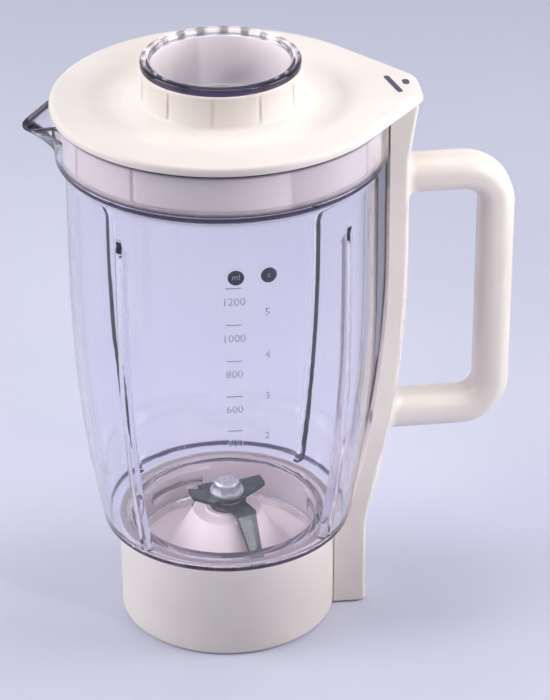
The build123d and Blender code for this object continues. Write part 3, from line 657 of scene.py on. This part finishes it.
# Handle and spine
# Cream mouldings screwed together: the grip with the spine's outer wall, and the inner cover that hooks
# over the goblet's tongue. The interlock rod slides between them.
handle_cream = moulded_plastic("cream_handle", tint(244, 236, 229), tint(233, 223, 215), 0.34)
for part in ("handle", "spine_cover"):
    paint_node(part, handle_cream)
paint_node("interlock_rod", moulded_plastic("cream_rod", tint(236, 228, 218), tint(224, 214, 204), 0.4))

# Lid
# A cream moulding with a plug skirt, a grooved collar for the filler cap and a tab that locks over the spine.
# Its top is gently dished round the collar and its edges are well rounded.
lid_low, lid_high = (np.array(corner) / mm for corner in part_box("lid"))
lid_radius = lid_high[1]
lid_under = rim_level + 0.3
lid_top = lid_under + 3.6
collar_top = lid_high[2]
tab_reach = lid_high[0]
collar_bore = 29.6
collar_radius = 32.0
tube_bottom = lid_under - 12.0
skirt_radius = mouth_radius - wall - 0.4
skirt_bottom = lid_low[2] + 2.0
nose_radius = skirt_radius - 2.4
nose_bore = nose_radius - 2.4
dish_outer, dish_slope_foot, dish_inner = 52.0, 45.5, 38.0
dish_depth = 2.0


def tab_edge(angle):
    """Plan of the lid as a radius over the angle: a disc, a straight side tangent to it and to a corner
    circle, the corner circle, and the straight end of the tab."""
    corner_round = 9.5
    middle = np.array([tab_reach - corner_round, 15.5 - corner_round])
    off = np.abs((angle + np.pi) % (2 * np.pi) - np.pi)
    distance = np.linalg.norm(middle)
    lean = np.arctan2(middle[1], middle[0])
    side = lean + np.arccos((lid_radius - corner_round) / distance)
    touch = middle + corner_round * np.array([np.cos(side), np.sin(side)])
    along = distance * np.cos(off - lean)
    circle = along + np.sqrt(np.maximum(corner_round**2 - distance**2 + along**2, 0))
    line = lid_radius / np.cos(np.clip(off - side, -1.2, 1.2))
    end = tab_reach / np.cos(np.clip(off, 0, 1.2))
    starts = [off < np.arctan2(middle[1], tab_reach), off < np.arctan2(touch[1], touch[0]), off < side]
    return np.select(starts, [end, circle, line], lid_radius)


def lid_grid():
    """Lid as radius and level over profile and angle: the turned section, its flange drawn out to the tab,
    with grooves in the collar and the skirt and the ramp under the tab."""
    flange_rows = np.linspace(skirt_radius + 0.6, lid_radius - 0.6, 16)
    under_flange = [(radius, lid_under, 0.0) for radius in flange_rows]
    corners = [
        (collar_bore, tube_bottom, 0.5),
        (collar_radius, tube_bottom, 0.5),
        (collar_radius, lid_under, 1.0),
        (nose_bore, lid_under, 1.0),
        (nose_bore, skirt_bottom - 2.0, 0.5),
        (nose_radius, skirt_bottom - 2.0, 0.5),
        (nose_radius, skirt_bottom, 0.2),
        (skirt_radius, skirt_bottom, 0.5),
        (skirt_radius, lid_under, 0.3),
        *under_flange,
        (lid_radius, lid_under, 0.4),
        (lid_radius, lid_top, 2.6),
        (dish_outer, lid_top, 3.0),
        (dish_slope_foot, lid_top - dish_depth, 3.0),
        (dish_inner, lid_top - dish_depth, 2.0),
        (collar_radius + 0.6, lid_top - 0.3, 1.6),
        (collar_radius, collar_top, 1.1),
        (collar_bore, collar_top, 0.8),
    ]
    outline = spread(rounded(corners, 7), 2.0)
    radius, level = outline[:, :1], outline[:, 1:]
    collar_groove_count = 11
    collar_grooves = -102.0 + 360.0 / collar_groove_count * np.arange(collar_groove_count)
    thirds = 120.0 * np.arange(3)
    skirt_grooves = np.concatenate([-156.0 + thirds, -128.0 + thirds])
    clusters = [(middle, 2.4, 11) for middle in collar_grooves]
    clusters += [(middle, 1.5, 11) for middle in skirt_grooves]
    clusters += [(0, 20, 61), (-5, 9, 73)]
    angle = turns(200, *clusters)[None]
    on_top = np.clip((radius - dish_outer) / (lid_radius - dish_outer), 0, 1)
    on_underside = np.clip((radius - skirt_radius) / (lid_radius - skirt_radius), 0, 1)
    outward = np.where(level < lid_under + 0.2, on_underside, on_top)
    outward = np.where(level < lid_under - 0.01, 0.0, outward)
    wide = radius + outward * (tab_edge(angle) - lid_radius)

    # grooves in the collar and in the skirt
    collar_groove_depth, skirt_groove_depth = 0.6, 0.7
    in_collar = (radius > collar_radius - 0.4) & (radius < collar_radius + 0.7) & (level > lid_top)
    groove_foot = step_up(level, lid_top + 0.8, lid_top + 1.6)
    groove_head = step_up(level, collar_top - 1.0, collar_top - 1.6)
    in_groove = step_up(off_nearest(angle, collar_grooves) * collar_radius, 0.95, 0.6)
    wide = wide - collar_groove_depth * in_groove * (groove_foot * groove_head) * in_collar
    on_skirt = (radius > skirt_radius - 0.6) & (level < lid_under - 0.2) & (level > skirt_bottom - 0.01)
    in_groove = step_up(off_nearest(angle, skirt_grooves) * skirt_radius, 1.1, 0.75)
    wide = wide - skirt_groove_depth * in_groove * on_skirt

    # sloping recess under the tab that the rod rises into
    ramp_slope = 0.144
    ramp_start = 3.3
    x, y = wide * np.cos(angle), wide * np.sin(angle)
    under = np.abs(level - lid_under) < 0.05
    recess_across = step_up(x, 66.0, 66.5) * step_up(x, 72.2, 71.7)
    recess_along = step_up(y, 3.6, 3.1) * step_up(y, -13.3, -12.9)
    tall = level + recess_across * recess_along * under * ramp_slope * np.maximum(ramp_start - y, 0)
    return turned_grid(wide, tall, angle), grid_faces(*wide.shape, True, True)


lid_cream = moulded_plastic("cream_lid", tint(250, 243, 237), tint(241, 232, 224), 0.33)
lid = add_piece("lid_moulding", [lid_grid()], lid_cream, "lid")
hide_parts("lid")

# Tab marks
# A short bar and a dot on the lid's tab, which show where it locks. They are printed in the same dark ink
# as the discs of the scale.


def flat_patch(across, along, level, thickness=0.06):
    """Thin closed plate on a flat top: the outline's grid on two levels, joined round its edge."""
    rows = [(0.98, 0.0), (1.0, 0.0), (1.0, thickness), (0.98, thickness)]
    middle = np.array([across.mean(), along.mean()])
    scales = np.array([0.0] + [share for share, lift in rows] + [0.0])[:, None]
    lifts = np.array([0.0] + [lift for share, lift in rows] + [thickness])[:, None]
    x = middle[0] + scales * (across - middle[0])
    y = middle[1] + scales * (along - middle[1])
    points = np.stack(np.broadcast_arrays(x, y, level + lifts), axis=-1)
    return points.reshape(-1, 3), grid_faces(*points.shape[:2], False, True)


def bar_outline(start, end, width):
    """Rounded bar between two points in plan: two half circles joined by straight sides."""
    start, end = np.array(start), np.array(end)
    heading = atan2(end[1] - start[1], end[0] - start[0])
    half_turn = np.linspace(-np.pi / 2, np.pi / 2, 9)
    angle = np.concatenate([heading + half_turn, heading + np.pi + half_turn])
    centre = np.concatenate([np.repeat(end[None], 9, axis=0), np.repeat(start[None], 9, axis=0)])
    return centre[:, 0] + width / 2 * np.cos(angle), centre[:, 1] + width / 2 * np.sin(angle)


lock_bar = bar_outline((66.6, 7.6), (69.8, -6.4), 2.3)
lock_dot = bar_outline((73.4, 3.0), (73.4, 1.0), 2.8)
marks = [flat_patch(*lock_bar, lid_top), flat_patch(*lock_dot, lid_top)]
add_piece("tab_marks", marks, scale_ink, "lid")

# Filler cap
# A clear cup of acrylic, paler than the goblet's, dropped into the lid's collar, with a flanged rim for
# the fingers. Painted shade darkens the rim's front and lays short dark dashes along its back.
cap_low, cap_high = (np.array(corner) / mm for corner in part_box("filler_cap"))
cap_rim = cap_high[1]
cap_top = cap_high[2]
cap_bottom = cap_low[2]
cap_outer = collar_bore - 0.5
cap_bore = cap_outer - 1.8


def cap_grid():
    """Cup turned about the axis, from the middle of its underside round the rim to its floor's middle."""
    corners = [
        (0.0, cap_bottom, 0.0),
        (cap_outer - 1.2, cap_bottom, 2.2),
        (cap_outer, collar_top, 0.2),
        (cap_rim, collar_top, 0.5),
        (cap_rim, cap_top, 1.1),
        (cap_bore + 0.6, cap_top, 1.1),
        (cap_bore - 1.2, cap_bottom + 1.8, 2.0),
        (0.0, cap_bottom + 1.8, 0.0),
    ]
    outline = spread(rounded(corners, 7), 1.5)
    start = np.argmin(np.hypot(outline[:, 0], outline[:, 1] - cap_bottom))
    outline = np.roll(outline, -start, axis=0)
    last = np.argmin(np.hypot(outline[:, 0], outline[:, 1] - cap_bottom - 1.8))
    outline = outline[: last + 1]
    angle = turns(160)[None]
    radius, level = outline[:, :1], outline[:, 1:]
    wide = radius + 0.0 * angle
    # painted shade on the rim: dark all along the front, toward the camera, and in short dark dashes along
    # the back
    on_flange = step_up(radius, cap_outer - 0.2, cap_outer + 0.6)
    rim_shade = on_flange * step_up(level, collar_top - 0.3, collar_top + 0.2)
    shade_dash_count = 22
    shade_dashes = step_up(np.cos(shade_dash_count * angle), -0.1, 0.5)
    painted_edge_shade = rim_shade * np.maximum(step_up(np.sin(angle), 0.3, -0.3), 0.9 * shade_dashes)
    return (turned_grid(wide, level, angle), grid_faces(*wide.shape, False, True)), painted_edge_shade


cap_surface, cap_painted_shade = cap_grid()
cap_acrylic = clear_acrylic("clear_cap", (0.97, 0.96, 0.97, 1.0))
cap = add_piece("filler_cup", [cap_surface], cap_acrylic, "cap", painted_edge_shade=cap_painted_shade)
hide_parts("filler_cap")

# Studio
# A wide pale cloth that fades into a plain backdrop far out, under soft boxes on the left, on the right
# and above, with a small lamp on the handle. The room's own light is dimmer behind the camera.
floor_half = 3.0
floor_mesh = bpy.data.meshes.new("studio_floor")
floor_corners = [(x * floor_half, y * floor_half, 0) for x, y in ((-1, -1), (1, -1), (1, 1), (-1, 1))]
floor_mesh.from_pydata(floor_corners, [], [(0, 1, 2, 3)])
floor = bpy.data.objects.new("studio_floor", floor_mesh)
bpy.context.scene.collection.objects.link(floor)
cloth = Finish(bpy.data.materials.new("studio_cloth"))
soft_folds = cloth.noise(5.0, 2.0)
near_cloth = cloth.mix(soft_folds.rise(0.3, 0.7), tint(209, 212, 232), tint(217, 219, 237))
cloth_place = cloth.place()
cloth_x = cloth.node("ShaderNodeSeparateXYZ", sockets={0: cloth_place}, output=0)
cloth_y = cloth.node("ShaderNodeSeparateXYZ", sockets={0: cloth_place}, output=1)
cloth_distance = (cloth_x * cloth_x + cloth_y * cloth_y) ** 0.5
far_cloth = cloth_y.rise(0.05, 0.75)
cloth_look = {
    "Base Color": cloth.mix(far_cloth, near_cloth, tint(226, 229, 249)),
    "Roughness": 0.9,
    "Specular IOR Level": 0.1,
}
backdrop_colour = tint(203, 206, 226)
near_look = cloth.node("ShaderNodeBsdfPrincipled", sockets=cloth_look)
far_look = cloth.node("ShaderNodeEmission", sockets={"Color": backdrop_colour, "Strength": 1.0})
fade_start, fade_end = 0.75, 1.6
fade = cloth_distance.rise(fade_start, fade_end) * cloth.looked_at()
cloth_surface = cloth.node("ShaderNodeMixShader", sockets={0: fade, 1: near_look, 2: far_look})
floor_mesh.materials.append(cloth.show(cloth_surface))


def soft_box(name, place, target, size, power, colour, spread_angle=radians(180.0)):
    """Square area lamp at a place, aimed at a target, with a grid that narrows its beam to an angle."""
    lamp = bpy.data.lights.new(name, "AREA")
    lamp.shape = "SQUARE"
    lamp.size = size
    lamp.energy = power
    lamp.color = colour
    lamp.spread = spread_angle
    box = bpy.data.objects.new(name, lamp)
    bpy.context.scene.collection.objects.link(box)
    box.location = place
    box.rotation_mode = "QUATERNION"
    box.rotation_quaternion = (Vector(target) - Vector(place)).to_track_quat("-Z", "Y")


side_white = (1.0, 0.98, 0.97)
handle_white = (1.0, 0.97, 0.95)
top_white = (1.0, 0.99, 0.98)
jar_middle = (0, 0, 0.14)
spine_middle = (0.06, 0, 0.15)
handle_beam = radians(24.0)
soft_box("left_box", (-1.05, 0.0, 0.6), jar_middle, 0.8, 8.6, side_white)
soft_box("right_box", (0.85, -0.15, 0.45), jar_middle, 0.5, 4.4, side_white)
soft_box("handle_box", (0.45, -0.5, 0.5), spine_middle, 0.15, 0.06, handle_white, handle_beam)
soft_box("top_box", (0.05, 0.1, 1.4), (0, 0, 0.1), 0.9, 7.7, top_white)

room = Finish(bpy.data.worlds.new("studio_room"))
room_strength = 0.4
direction = room.node("ShaderNodeTexCoord", output="Generated")
front = room.node("ShaderNodeSeparateXYZ", sockets={0: direction}, output=1).rise(-0.9, 0.3)
air = room.mix(front, tint(76, 74, 84), tint(208, 210, 222))
seen = room.looked_at()
lit = room.node("ShaderNodeBackground", sockets={"Color": air, "Strength": room_strength})
backdrop = room.node("ShaderNodeBackground", sockets={"Color": backdrop_colour, "Strength": 1.0})
room_surface = room.node("ShaderNodeMixShader", sockets={0: seen, 1: lit, 2: backdrop})
room.tree.links.new(room_surface.socket, room.tree.nodes.new("ShaderNodeOutputWorld").inputs["Surface"])
bpy.context.scene.world = room.owner
bpy.context.scene.view_settings.view_transform = "Standard"
